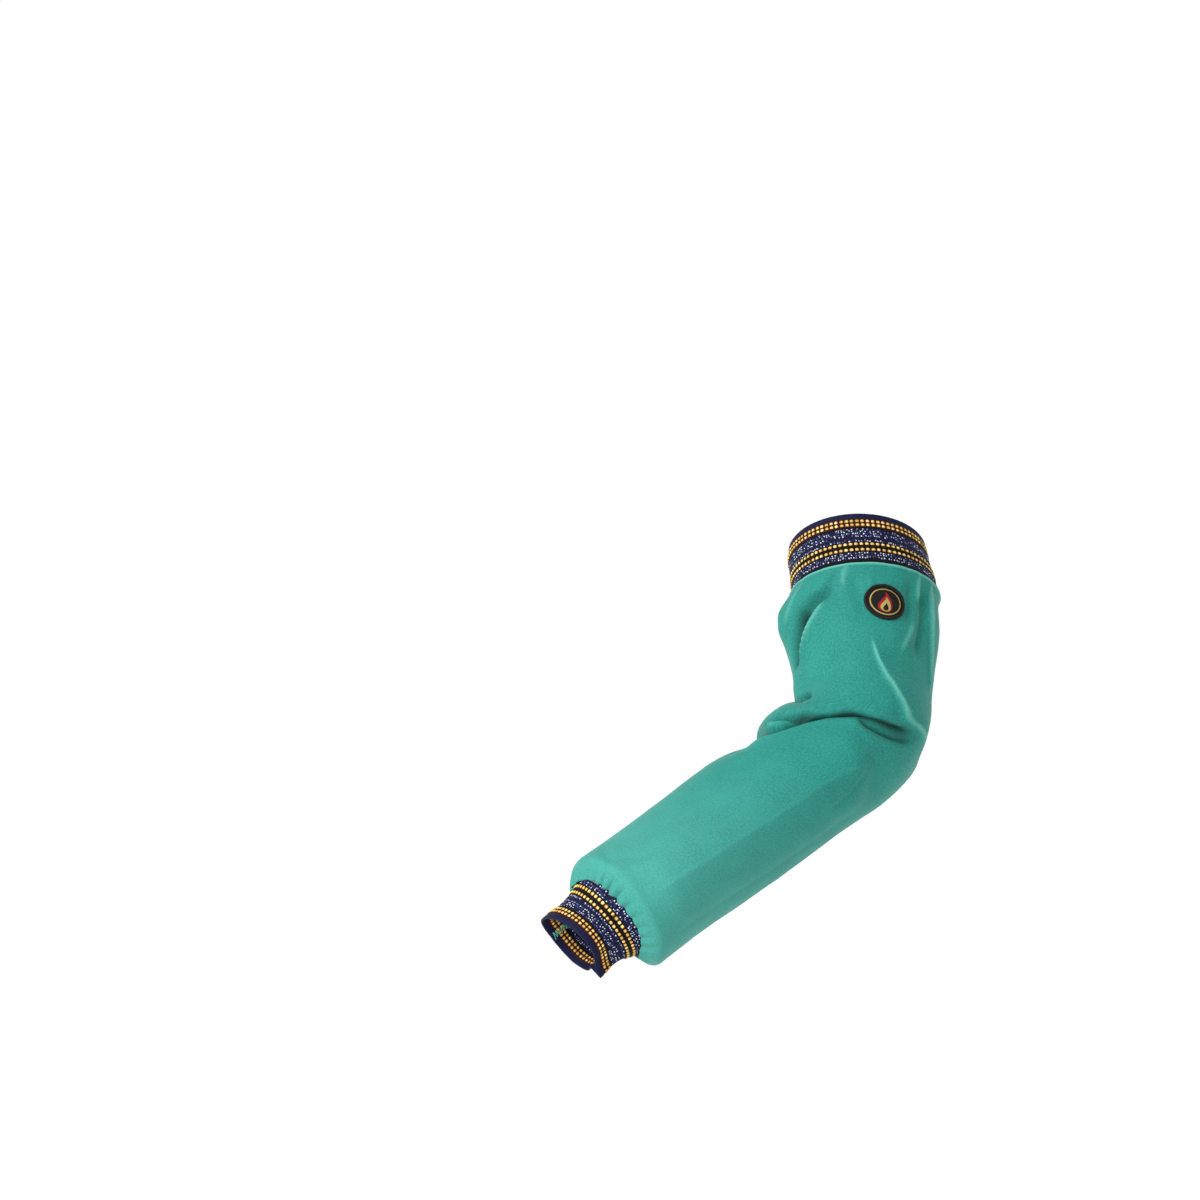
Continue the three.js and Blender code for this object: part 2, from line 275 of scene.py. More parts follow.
# around in degrees, at, then the lip's height and width, the crease's depth and width, and how far
# the lip slides over it, as shares of the mean radius
creaseRows = [
    (-180, 1.18, 0.03, 0.30, 0.03, 0.12, 0),
    (-120, 1.25, 0.07, 0.26, 0.12, 0.12, 0.04),
    (-85, 1.265, 0.065, 0.31, 0.17, 0.10, 0.01),
    (-62, 1.27, 0.08, 0.31, 0.18, 0.08, 0.02),
    (-42, 1.27, 0.09, 0.27, 0.20, 0.06, 0.05),
    (-30, 1.24, 0.10, 0.22, 0.18, 0.05, 0.08),
    (-18, 1.155, 0.07, 0.20, 0.19, 0.05, 0.12),
    (-10, 1.105, 0.055, 0.20, 0.19, 0.045, 0.13),
    (5, 1.045, 0.045, 0.22, 0.18, 0.045, 0.12),
    (18, 1.021, 0.045, 0.22, 0.16, 0.04, 0.12),
    (34, 1.006, 0.045, 0.20, 0.13, 0.04, 0.09),
    (46, 0.997, 0.04, 0.18, 0.08, 0.04, 0.05),
    (56, 0.992, 0.03, 0.18, 0.03, 0.05, 0.01),
    (68, 0.99, 0.02, 0.18, 0, 0.08, 0),
    (85, 1.0, 0.01, 0.20, 0, 0.10, 0),
    (105, 1.01, 0, 0.20, 0, 0.12, 0),
    (150, 1.1, 0, 0.30, 0, 0.12, 0),
    (180, 1.18, 0.03, 0.30, 0.03, 0.12, 0),
]
creaseShape = {
    "above": 0.6,                # the crease's width up the sleeve and down it, as shares of the table's
    "below": 2,
    "hangAt": -0.05,             # past the crease: where the lip slides most
    "hangWidth": 0.07,
    "tone": 5.5,                 # how much painted shade darkens the crease, for its depth
    "toneAt": 0.02,              # past the crease, and further by this share of the lip's slide
    "toneHang": 0.6,
    "toneWidth": 0.06,
}
slant = (0.4, 1.9)               # the cloth's rows lean with the crease between these stations

# Folds: a path of (at, around), then width and height as shares of the mean radius. steep widens the
# side further round, or up the sleeve on a path that runs round. taper is the share of the path over
# which an end dies away. slide pulls one side along the sleeve over the other, in metres. tone below 0
# is painted shade down in a fold, and above 0 painted highlight on a crest, over toneWidth of the fold's
# width. A fold with no height only paints shade or highlight. The last one is the edge pressed down the
# sleeve.
folds = [
    {"path": [(1.12, -47), (1.105, -56), (1.06, -76), (1, -112)],
     "width": 0.08, "height": -0.3, "taper": 0.06, "slide": -0.003, "tone": -0.5},
    {"path": [(1.03, -62), (1.07, -57)], "width": 0.085, "height": -0.12, "taper": 0, "tone": -0.9},
    {"path": [(1.31, -72), (1.36, -58)], "width": 0.27, "height": -0.11, "taper": 0},
    {"path": [(1.25, -46), (1.225, -37), (1.2, -29), (1.18, -24), (1.155, -18), (1.13, -13)],
     "width": 0.045, "height": -0.17, "slide": 0.002, "taper": 0.3, "tone": -0.8},
    {"path": [(1.275, -50), (1.25, -40), (1.22, -32), (1.19, -26)],
     "width": 0.03, "height": 0, "taper": 0.3, "tone": 0.25},
    {"path": [(1.203, -31), (1.163, -21), (1.112, -11), (1.062, -2), (1.04, 6), (1.022, 16)],
     "width": 0.035, "height": 0, "taper": 0.25, "tone": -1.0},
    {"path": [(1.07, 4), (1.067, 16), (1.057, 27), (1.041, 40), (1.02, 53), (1, 64)],
     "width": 0.04, "height": -0.08, "slide": 0.0018, "taper": 0.2, "tone": -0.45},
    {"path": [(1.02, 12), (1.025, 24), (1.015, 38), (1, 50), (0.985, 58)],
     "width": 0.09, "height": 0, "taper": 0.3, "tone": -0.35},
    {"path": [(0.56, 0), (0.70, 3), (0.80, 8), (0.87, 15), (0.925, 25), (0.955, 37), (0.965, 51), (0.96, 66),
              (0.95, 84)],
     "width": 0.024, "height": 0.05, "steep": 6, "taper": 0.15, "tone": 0.5, "toneWidth": 0.7},
    {"path": [(0.12, -24), (0.19, -33), (0.235, -43), (0.29, -53), (0.38, -63), (0.5, -73), (0.6, -84)],
     "width": 0.1, "height": -0.19, "taper": 0.22, "tone": -0.4, "toneWidth": 1.2},
    {"path": [(0.24, -50), (0.36, -60), (0.48, -71), (0.62, -83)],
     "width": 0.085, "height": -0.04, "taper": 0.25, "tone": -1.35},
    {"path": [(0.2, -31), (0.29, -36), (0.36, -43), (0.44, -54), (0.52, -65), (0.6, -77)],
     "width": 0.052, "height": 0.065, "steep": 2.6, "taper": 0.25, "tone": 0.5, "toneWidth": 0.6},
    {"path": [(0.74, -84), (1, -80)], "width": 0.3, "height": 0.08, "taper": 0},
    {"path": [(0.06, -88), (0.26, -88)], "width": 0.2, "height": 0.08, "taper": 0},
    {"path": [(0, -58), (0.1, -63), (0.2, -70), (0.3, -79)],
     "width": 0.035, "height": 0.03, "taper": 0.3, "tone": 0.3},
    {"path": [(0, -20), (0.08, -19), (0.18, -17)],
     "width": 0.04, "height": 0.035, "taper": 0.25, "tone": 0.25},
    {"path": [(0, -27), (0.08, -28), (0.2, -33)], "width": 0.05, "height": -0.03, "tone": -0.2},
    {"path": [(-0.02, 41), (0.1, 41.5), (0.24, 41)], "width": 0.03, "height": 0.045, "tone": 0.4},
    {"path": [(-0.04, 60), (0.1, 57), (0.25, 56), (0.42, 58), (0.6, 62), (0.8, 66)],
     "width": 0.03, "height": 0.06, "steep": 3, "taper": 0.15, "tone": 0.5, "toneWidth": 0.8},
    {"path": [(0.36, 38), (0.5, 33), (0.66, 24)],
     "width": 0.028, "height": 0.02, "steep": 3, "tone": 0.3},
    {"path": [(0, 34), (0.18, 33), (0.45, 29)], "width": 0.07, "height": -0.05, "tone": -0.12},
    {"path": [(0, 48), (0.14, 47.5), (0.4, 46), (0.7, 40)],
     "width": 0.08, "height": -0.075, "tone": -0.12},
    {"path": [(0.02, -10), (0.2, -8), (0.45, -4)], "width": 0.09, "height": -0.025},
    {"path": [(0, 2), (0.12, 2), (0.26, 4)], "width": 0.05, "height": 0.015},
    {"path": [(1.88, -66), (1.93, -40), (1.955, -14)], "width": 0.05, "height": -0.015, "tone": -0.1},
    {"path": [(1.82, 4), (1.9, -10), (1.95, -34)], "width": 0.06, "height": -0.012, "tone": -0.1},
    {"path": [(1.12, 44), (1.2, 52), (1.32, 58)], "width": 0.05, "height": -0.02},
    {"path": [(0.86, -178), (1, -146), (1.06, -112)], "width": 0.12, "height": -0.07, "tone": -0.2},
    {"path": [(1.26, -172), (1.36, -142), (1.4, -112)], "width": 0.12, "height": -0.06, "tone": -0.2},
    {"path": [(0.78, 150), (0.95, 120), (1.05, 98)], "width": 0.14, "height": 0.04},
    {"path": [(1.08, 48), (1.13, 42), (1.19, 37), (1.27, 34), (1.518, 30), (1.754, 27), (1.95, 24)],
     "width": 0.8, "height": 0.17, "sharp": True, "taper": 0.12, "tone": 0.05, "toneWidth": 0.03},
]
slideAt, slideWidth = 0.8, 1.2   # where a fold's slide is greatest and how wide, in fold widths

# The wrist's edge isn't level: degrees round, then how far further down the sleeve it lies
edgeRows = [
    (-180, 0.002), (-125, 0.006), (-92, 0.0095), (-62, 0.006), (-30, 0.0015), (0, 0), (60, 0.001),
    (90, 0.005), (115, 0.004), (145, 0.001), (180, 0.002),
]

# Where the cloth's rows crowd: the station, how far to each side, and how many more there are
rowCrowds = [(1.01, 0.1, 3.2), (0, 0.06, 2), (2, 0.04, 4)]


def distanceOf(at):
    upper = mix(band["width"], elbowDistance, at)
    return np.where(at <= 1, upper, mix(elbowDistance, wristEdge, at - 1))


def stationAt(distance):
    upper = (distance - band["width"]) / (elbowDistance - band["width"])
    lower = 1 + (distance - elbowDistance) / (wristEdge - elbowDistance)
    return np.where(distance < elbowDistance, upper, lower)


def foldShape(distance, around, fold):
    path = np.array(fold["path"], float)
    keys = np.arange(len(path))
    fine = tableAt(np.column_stack([keys, path]), np.linspace(0, len(path) - 1, 8 * len(path)))
    middle = math.radians(path[:, 1].mean())
    x = distanceOf(fine[0])
    y = turnBetween(middle, np.radians(fine[1])) * meanRadius
    px, py = distance, turnBetween(middle, around) * meanRadius
    ran = np.concatenate([[0], np.cumsum(np.hypot(np.diff(x), np.diff(y)))])
    nearest = np.full(px.shape, np.inf)
    side, share = np.zeros(px.shape), np.zeros(px.shape)
    for i in range(len(x) - 1):
        wx, wy = x[i + 1] - x[i], y[i + 1] - y[i]
        t = np.clip(((px - x[i]) * wx + (py - y[i]) * wy) / (wx * wx + wy * wy), 0, 1)
        away = np.hypot(px - x[i] - t * wx, py - y[i] - t * wy)
        closer = away < nearest
        nearest = np.where(closer, away, nearest)
        side = np.where(closer, (py - y[i]) * wx - (px - x[i]) * wy, side)
        share = np.where(closer, (ran[i] + t * (ran[i + 1] - ran[i])) / ran[-1], share)
    narrow = fold["width"] * meanRadius
    width = narrow * np.where(side > 0, fold.get("steep", 1), 1)
    profile = np.maximum(0, 1 - nearest / width) if fold.get("sharp") else np.exp(-(nearest / width) ** 2)
    taper = fold.get("taper", 0.3)
    ends = smooth(share / taper) * smooth((1 - share) / taper) if taper else 1
    above = nearest * np.sign(side) / narrow
    slide = fold.get("slide", 0) * np.exp(-((above - slideAt) / slideWidth) ** 2)
    # painted shade where the fold's tone is below 0, painted highlight where it is above
    tone = fold.get("tone", 0) * np.exp(-(nearest / narrow / fold.get("toneWidth", 1)) ** 2)
    return fold["height"] * meanRadius * profile * ends, slide * ends, tone * ends


def gatherWave(around, count, seed):
    # gathers of uneven width and height round the sleeve, with round crests and sharp valleys
    drift = 0.9 * np.sin(3 * around + seed) + 0.6 * np.sin(5 * around + 2.3 * seed)
    strength = 0.7 + 0.3 * np.sin(4 * around + 1.7 * seed)
    return strength * np.abs(np.cos((count * around + drift) / 2))


def clothHalves(at, distance, low):
    near, out, centre = tableAt(sectionRows, at)
    radius = mix(cloth["upperGirth"], cloth["wristGirth"], at / 2) / (2 * math.pi)
    cover = cloth["clearance"] + cloth["thickness"]
    one = np.ones_like(at)
    upper = bandHalves(upperFlare, 1, one, cover)
    wristShare = one - (cloth["wristRoll"] + low) / band["width"]
    wrist = bandHalves(wristFlare, band["wristFlatness"], wristShare, cover)
    fromUpper = np.sqrt(smooth((distance - band["width"]) / cloth["upperShoulder"]))
    fromWrist = np.sqrt(smooth((wristEdge - distance) / cloth["wristShoulder"]))
    return [
        mix(wrist[0], mix(upper[0], radius * near, fromUpper), fromWrist),
        mix(wrist[1], mix(upper[1], radius * out, fromUpper), fromWrist),
        mix(0, mix(band["seamShift"], radius * centre, fromUpper), fromWrist),
    ]


def rowAround(rows, around):
    return tableAt(rows, np.degrees(turnBetween(0, around)))


def slanted(station, around):
    shift = rowAround(creaseRows, around)[0] - 1
    rise, fall = (station - slant[0]) / (1 - slant[0]), (slant[1] - station) / (slant[1] - 1)
    return station + shift * smooth(rise) * smooth(fall)


def clothPoint(at, around, raised=0.0):
    distance = distanceOf(at)
    low = rowAround(edgeRows, around)[0]
    halves = clothHalves(at, distance, low)
    crease, lipHeight, lipWidth, depth, width, over = rowAround(creaseRows, around)
    past = (distance - distanceOf(crease)) / meanRadius
    lip = np.exp(-(past / lipWidth + 1) ** 4)
    width = width * np.where(past > 0, creaseShape["below"], creaseShape["above"])
    height = meanRadius * (lipHeight * lip - depth * np.exp(-(past / width) ** 2))
    # the lip hangs over the crease, as some folds do over their valleys
    hang = meanRadius * over * np.exp(-((past - creaseShape["hangAt"]) / creaseShape["hangWidth"]) ** 2)
    for fold in folds:
        lift, slide, _ = foldShape(distance, around, fold)
        height, hang = height + lift, hang + slide
    fromSeam, fromEdge = distance - band["width"], wristEdge - distance
    offWrist = smooth(fromEdge / cloth["wristShoulder"])
    height = height * smooth(fromSeam / cloth["upperShoulder"]) * offWrist
    puckers = gatherWave(around, cloth["wristGathers"], 1.0)
    height = height + cloth["gatherHeight"] * puckers * (1 - smooth(fromEdge / cloth["gatherReach"]))
    tucks = gatherWave(around, cloth["upperTucks"], 4.0)
    height = height + cloth["tuckHeight"] * tucks * (1 - smooth(fromSeam / cloth["tuckReach"]))
    hem = np.exp(-(fromSeam / cloth["hemWidth"]) ** 2)
    rolled = np.exp(-(fromEdge / cloth["hemWidth"]) ** 2)
    height = height + cloth["hemHeight"] * (hem + cloth["wristHem"] * rolled)
    # gathers draw the wrist's edge up between them
    draw = cloth["scallop"] * (1 - puckers) * (1 - smooth(fromEdge / cloth["scallopReach"]))
    low = low * (1 - smooth(fromEdge / cloth["levelReach"]))
    low = low + band["seamTilt"] * np.cos(around) * (1 - smooth(fromSeam / cloth["tiltReach"]))
    return ovalPoint(distance + hang * offWrist - draw + low, *halves, around, height + raised)


def paintedClothShading(at, around):
    # painted shade below 0, down in the folds, and painted highlight above 0, on their crests
    distance = distanceOf(at)
    crease, _, _, depth, _, over = rowAround(creaseRows, around)
    past = (distance - distanceOf(crease)) / meanRadius
    fromLine = (past - creaseShape["toneAt"] - creaseShape["toneHang"] * over) / creaseShape["toneWidth"]
    tone = -creaseShape["tone"] * depth * np.exp(-fromLine ** 2)
    for fold in folds:
        tone = tone + foldShape(distance, around, fold)[2]
    return tone


# A flat grid of columns round and rows along, put in place, and joined where its edges meet

def rolledGrid(name, columns, rows, place, uvOf, toneOf=None):
    bm = bmesh.new()
    bmesh.ops.create_grid(bm, x_segments=columns, y_segments=rows, size=0.5)
    uv = bm.loops.layers.uv.new("cloth")
    # a value on each point: painted shade and highlight on the cloth, the beads' shape on the bands
    tone = bm.verts.layers.float.new("tone")
    bm.verts.index_update()
    verts = list(bm.verts)
    across = np.array([v.co.x + 0.5 for v in verts])
    along = np.array([v.co.y + 0.5 for v in verts])
    flat = np.stack(uvOf(across, along), -1)
    for vert, value in zip(verts, toneOf(across, along) if toneOf else 0 * across):
        vert[tone] = value
    for face in bm.faces:
        face.smooth = True
        for loop in face.loops:
            loop[uv].uv = flat[loop.vert.index]
    for vert, co in zip(verts, place(across, along)):
        vert.co = co
    bmesh.ops.remove_doubles(bm, verts=bm.verts, dist=1e-6)
    bmesh.ops.recalc_face_normals(bm, faces=bm.faces)
    return finishMesh(name, bm)


def finishMesh(name, bm):
    mesh = bpy.data.meshes.new(name)
    bm.to_mesh(mesh)
    bm.free()
    piece = bpy.data.objects.new(name, mesh)
    bpy.context.collection.objects.link(piece)
    return piece


def spacedStations():
    # the station for each share of the rows
    fine = np.linspace(0, 2, 4001)
    weight = 1 + sum(more * np.exp(-((fine - at) / width) ** 2) for at, width, more in rowCrowds)
    weight = weight * np.where(fine < 1, cloth["upperRows"], 1)
    total = np.concatenate([[0], np.cumsum((weight[1:] + weight[:-1]) / 2)])
    return lambda share: np.interp(share * total[-1], total, fine)


def columnTurn(across):
    # columns crowd on the near side
    turn = across * 2 * math.pi - math.pi
    return turn - cloth["crowding"] * np.sin(turn)


def makeCloth():
    station = spacedStations()

    def place(across, along):
        around = columnTurn(across)
        at = slanted(station(along), around)
        points = clothPoint(at, around)
        _, near, out = frameAt(distanceOf(at))
        normal = near * np.cos(around)[:, None] + out * np.sin(around)[:, None]
        inside = smooth(at / cloth["slackStart"]) * smooth((2 - at) / cloth["slackEnd"])
        slack = sum(height * noiseAt(points, size, seed) for seed, height, size in slackRows)
        return points + normal * (slack * inside)[:, None]

    def flatten(across, along):
        # true lengths, so that the weave isn't stretched
        return (columnTurn(across) + math.pi) * meanRadius, distanceOf(station(along)) - band["width"]

    # painted shade in the folds and painted highlight on their crests, for the material
    def tone(across, along):
        around = columnTurn(across)
        return paintedClothShading(slanted(station(along), around), around)

    piece = rolledGrid("sleeve_cloth", cloth["columns"], cloth["rows"], place, flatten, tone)
    wall = piece.modifiers.new("thickness", "SOLIDIFY")
    wall.thickness = cloth["thickness"]
    wall.offset = -1
    return piece


sleeveCloth = makeCloth()
print("cloth made:", len(sleeveCloth.data.vertices), "points")


# Both bands are rings of woven elastic, rolled from a grid into a closed section. Each side of it ends
# at a share of the grid's rows.
section = {"outside": 0.56, "rim": 0.62, "inside": 0.97, "rows": 150}

# The wrist rim is pulled into a leaf: degrees round, how far it stands out from the oval, and how far
# it is drawn up the sleeve
leafRows = [
    (-180, 0, -0.001), (-130, 0.0015, 0), (-95, 0.004, 0), (-70, 0.003, 0.001), (-40, 0.003, 0.003),
    (0, 0.003, 0.0055), (35, 0.0005, 0.005), (62, -0.0035, 0.002), (82, -0.002, -0.001),
    (92, 0.002, -0.002), (100, -0.001, -0.001), (114, -0.007, 0.0005), (128, -0.0085, 0.001),
    (148, -0.003, 0), (180, 0, -0.001),
]
joint = {                        # where a band's ends meet
    "upperAround": -150,         # degrees
    "wristAround": -128,
    "ridge": 0.002,              # the turned-in ends inside
    "ridgeWidth": 0.003,
    "groove": 0.0005,
    "grooveWidth": 0.0011,
}


def bandSection(row):
    # share of the band's width and height over its outside, round the closed section
    a, b, c = section["outside"], section["rim"], section["inside"]
    thick = band["thickness"]
    end = 1 + band["overlap"] / band["width"]
    rim = thick / 2 / band["width"]
    turn = math.pi * np.clip((row - a) / (b - a), 0, 1)
    parts = [row < a, row < b, row < c]
    shares = [mix(end, rim, row / a), rim * (1 - np.sin(turn)), mix(rim, end, (row - b) / (c - b))]
    share = np.select(parts, shares, end)
    closing = mix(-thick, 0, (row - c) / (1 - c))
    height = np.select(parts, [0 * row, -thick / 2 * (1 - np.cos(turn)), 0 * row - thick], closing)
    return share, height


def beadShape(rib, share):
    # 0 to 1 over each gold bead
    cell = rib % 1 - 0.5
    along = np.clip(1 - (cell / (band["beadLength"] / 2)) ** 2, 0, 1)
    bead = np.zeros_like(rib)
    for start, end in goldRows:
        across = np.clip(1 - ((share - (start + end) / 2) / ((end - start) / 2)) ** 2, 0, 1)
        bead = np.maximum(bead, np.sqrt(along * across))
    return bead


def bandPoint(isWrist, share, around, height):
    flare = wristFlare if isWrist else upperFlare
    flatness = band["wristFlatness"] if isWrist else 1
    distance = lineLength - share * band["width"] if isWrist else share * band["width"]
    near, out = bandHalves(flare, flatness, share, 0)
    centre = 0
    if isWrist:
        leaf, drawn = rowAround(leafRows, around)
        pull = 1 - smooth(share / band["leafReach"])
        height = height + leaf * pull
        distance = distance - drawn * pull
    else:
        centre = band["seamShift"] * smooth(share)
        distance = distance + band["seamTilt"] * np.cos(around) * np.minimum(share, 1)
    return ovalPoint(distance, near, out, centre, around, height)


def makeBand(name, isWrist):
    ribs = band["wristRibs"] if isWrist else band["upperRibs"]
    jointAround = math.radians(joint["wristAround"] if isWrist else joint["upperAround"])
    covered = 1 - cloth["wristRoll"] / band["width"] if isWrist else 1
    radius = band["wristRim" if isWrist else "upperRim"] / (2 * math.pi)

    def place(across, along):
        around = across * 2 * math.pi - math.pi
        share, height = bandSection(along)
        outside = np.where(height > -band["thickness"] / 2, 1, -1)
        rib = across * ribs
        bead = beadShape(rib, share)
        cell = np.cos(2 * math.pi * rib)
        past = (share - band["selvedge"]) / band["blend"]
        relief = (band["ribHeight"] * (0.5 - 0.5 * cell) + band["beadHeight"] * bead) * smooth(past)
        relief = relief + band["selvedgeHeight"] * smooth(0.5 - past)
        shown = np.where(outside > 0, smooth((covered - share) / band["fade"]), 1)
        away = turnBetween(jointAround, around) * radius
        seam = np.where(
            outside > 0,
            -joint["groove"] * np.exp(-(away / joint["grooveWidth"]) ** 2),
            -joint["ridge"] * np.exp(-(away / joint["ridgeWidth"]) ** 2),
        )
        return bandPoint(isWrist, share, around, height + outside * relief * shown + seam)

    def flatten(across, along):
        return across * ribs, bandSection(along)[0]

    def beads(across, along):
        return beadShape(*flatten(across, along))

    return rolledGrid(name, ribs * band["stepsPerRib"], section["rows"], place, flatten, beads)


upperElastic = makeBand("upper_elastic", False)
wristElastic = makeBand("wrist_elastic", True)
print("bands made")


# Overlocking over the turned-in ends of the wrist band
overlock = {
    "width": 0.0075,
    "pitch": 0.0026,
    "thread": 0.0004,
    "lift": 0.0006,
    "start": 0.04,               # shares of the band's width
    "end": 1,
}


def makeOverlock():
    count = 2 * round((overlock["end"] - overlock["start"]) * band["width"] / overlock["pitch"])
    step = np.arange(count + 1)
    share = mix(overlock["start"], overlock["end"], step / count)
    radius = band["wristRim"] / (2 * math.pi)
    side = np.where(step % 2, 0.5, -0.5) * overlock["width"] / radius
    around = math.radians(joint["wristAround"]) + side
    edge = joint["ridge"] * math.exp(-(overlock["width"] / 2 / joint["ridgeWidth"]) ** 2)
    zigzag = bandPoint(True, share, around, 0 * share - band["thickness"] - edge - overlock["lift"])
    ridge = 0 * share - band["thickness"] - joint["ridge"] - overlock["lift"]
    middle = bandPoint(True, share + 0.5 / count, around * 0 + math.radians(joint["wristAround"]), ridge)
    curve = bpy.data.curves.new("overlock_thread", "CURVE")
    curve.dimensions = "3D"
    curve.bevel_depth = overlock["thread"]
    curve.bevel_resolution = 2
    curve.resolution_u = 3
    line = curve.splines.new("NURBS")
    points = [p for pair in zip(zigzag, middle) for p in pair][:-1]
    line.points.add(len(points) - 1)
    for point, co in zip(line.points, points):
        point.co = (*co, 1)
    line.order_u = 3
    line.use_endpoint_u = True
    curve.use_fill_caps = True
    piece = bpy.data.objects.new("overlock_thread", curve)
    bpy.context.collection.objects.link(piece)
    return piece


overlockThread = makeOverlock()
print("overlocking made")


# Round embroidered patch, laid on the cloth
patch = {
    "at": 0.3,
    "around": 12,                # degrees
    "radius": 0.019,
    "border": 0.0014,            # half the border's width
    "clear": 0.0003,
    "ground": 0.0008,
    "face": 0.7,                 # share of a disc's rows on its upper face, and where its lower face starts
    "edge": 0.8,
    "groundGrid": (96, 30),      # columns and rows
    "motifGrid": (72, 18),
    "ridges": 92,                # threads round the border
    "ridgeGrid": (6, 14),        # columns to a thread, and rows
    "ridgeHeight": 0.14,         # share of half the border's width
    "flatness": 0.8,
}


def onPatch(x, y, lift):
    # x to the right and y up, from the patch's middle
    at = stationAt(distanceOf(np.array(patch["at"])) - y)
    radius = cloth["upperGirth"] / (2 * math.pi)
    around = math.radians(patch["around"]) + x / radius
    return clothPoint(at, around, patch["clear"] + lift)


def discGrid(name, grid, edgeOf, liftOf):
    # a closed disc: its upper face, its edge and its flat lower face, rolled from a grid
    def place(across, along):
        x, y, middleX, middleY = edgeOf(across * 2 * math.pi)
        outwards = np.minimum(along / patch["face"], 1)
        reach = np.where(along < patch["edge"], outwards, (1 - along) / (1 - patch["edge"]))
        lift = np.where(along <= patch["face"], liftOf(outwards), 0)
        return onPatch(x * reach + middleX, y * reach + middleY, lift)

    def flatten(across, along):
        x, y, _, _ = edgeOf(across * 2 * math.pi)
        outwards = np.minimum(along / patch["face"], 1)
        return x * outwards, y * outwards

    return rolledGrid(name, *grid, place, flatten)


def makePatchGround():
    radius = patch["radius"] - patch["border"]

    def edge(turn):
        return radius * np.sin(turn), radius * np.cos(turn), 0, 0

    def lift(outwards):
        return patch["ground"] + 0 * outwards

    return discGrid("patch_ground", patch["groundGrid"], edge, lift)


def makePatchBorder():
    # a merrowed edge: thread wrapped round the rim, one ridge for each turn of thread
    def place(across, along):
        turn, wrap = across * 2 * math.pi, along * 2 * math.pi
        ridge = 0.5 + 0.5 * np.cos(patch["ridges"] * turn + wrap)
        half = patch["border"] * (1 + patch["ridgeHeight"] * ridge)
        reach = patch["radius"] - patch["border"] + half * np.cos(wrap)
        lift = patch["ground"] + patch["flatness"] * half * np.sin(wrap)
        return onPatch(reach * np.sin(turn), reach * np.cos(turn), np.maximum(lift, 0))

    def flatten(across, along):
        return across * 2 * math.pi * patch["radius"], along * 2 * math.pi * patch["border"]

    columns, rows = patch["ridgeGrid"]
    return rolledGrid("patch_border", patch["ridges"] * columns, rows, place, flatten)


def makeMotif(name, outline, size, middle, height):
    # a raised, crowned patch of satin stitch inside an outline given by a function of the turn
    def edge(turn):
        x, y = outline(turn)
        return x * size, y * size, middle[0], middle[1]

    def lift(outwards):
        crown = np.sqrt(np.clip(1 - outwards ** 4, 0, 1))
        return patch["ground"] + height * crown

    return discGrid(name, patch["motifGrid"], edge, lift)


def ringOutline(turn):
    return np.sin(turn), np.cos(turn)


def flameOutline(turn):
    # round below and drawn to a leaning tip above
    narrow = np.sin(turn) * np.sin(turn / 2) ** 1.3
    lean = 0.16 * np.sin(2 * turn) * np.cos(turn / 2)
    return 0.95 * narrow + lean, np.cos(turn) + 0.25 * np.cos(turn / 2) ** 8


# name, outline, size, middle and height above the ground, then the thread
motifRows = [
    ("patch_ring_gold", ringOutline, 0.0148, (0, 0), 0.0003, "gold"),
    ("patch_ring_dark", ringOutline, 0.0137, (0, 0), 0.0005, "black"),
    ("patch_flame_red", flameOutline, 0.0105, (0, -0.0015), 0.0008, "red"),
    ("patch_flame_gold", flameOutline, 0.0078, (0.0002, -0.0034), 0.0011, "gold"),
    ("patch_flame_dark", flameOutline, 0.0042, (0, -0.0062), 0.0014, "black"),
]
patchGround = makePatchGround()
patchBorder = makePatchBorder()
motifs = [(makeMotif(*row), thread) for *row, thread in motifRows]
print("patch made")


# Felled seam along the hidden side, with two rows of stitches
seam = {
    "around": -150,              # degrees
    "apart": 0.006,              # between the rows
    "pitch": 0.0034,
    "length": 0.0026,
    "thick": 0.0005,
    "lift": 0.0002,
    "clear": 0.004,              # of the cloth's edges
}


def makeStitches():
    bm = bmesh.new()
    start, end = band["width"] + seam["clear"], wristEdge - seam["clear"]
    at = stationAt(np.linspace(start, end, round((end - start) / seam["pitch"])))
    for side in (-0.5, 0.5):
        around = math.radians(seam["around"]) + side * seam["apart"] / meanRadius + 0 * at
        # a little way ahead and a little way up, for each stitch's directions
        here = clothPoint(at, around, seam["lift"])
        ahead = clothPoint(at + 0.004, around, seam["lift"])
        above = clothPoint(at, around, seam["lift"] + 0.001)
        for a, b, c in zip(here, ahead, above):
            way = Vector(b - a).normalized()
            rise = Vector(c - a).normalized()
            across = way.cross(rise).normalized()
            turn = Matrix((way, across, way.cross(across))).transposed().to_4x4()
            size = Matrix.Diagonal((seam["length"] / 2, seam["thick"] / 2, seam["thick"] / 2, 1))
            matrix = Matrix.Translation(Vector(a)) @ turn @ size
            bmesh.ops.create_icosphere(bm, subdivisions=1, radius=1, matrix=matrix)
    for face in bm.faces:
        face.smooth = True
    bmesh.ops.recalc_face_normals(bm, faces=bm.faces)
    return finishMesh("seam_stitches", bm)


seamStitches = makeStitches()
print("stitches made")


# Materials
bandSpacing = 0.314              # metres between the bands of a wave texture of scale 1


def fromHex(text):
    parts = [int(text[i:i + 2], 16) / 255 for i in (1, 3, 5)]
    return (*(p / 12.92 if p <= 0.04045 else ((p + 0.055) / 1.055) ** 2.4 for p in parts), 1)


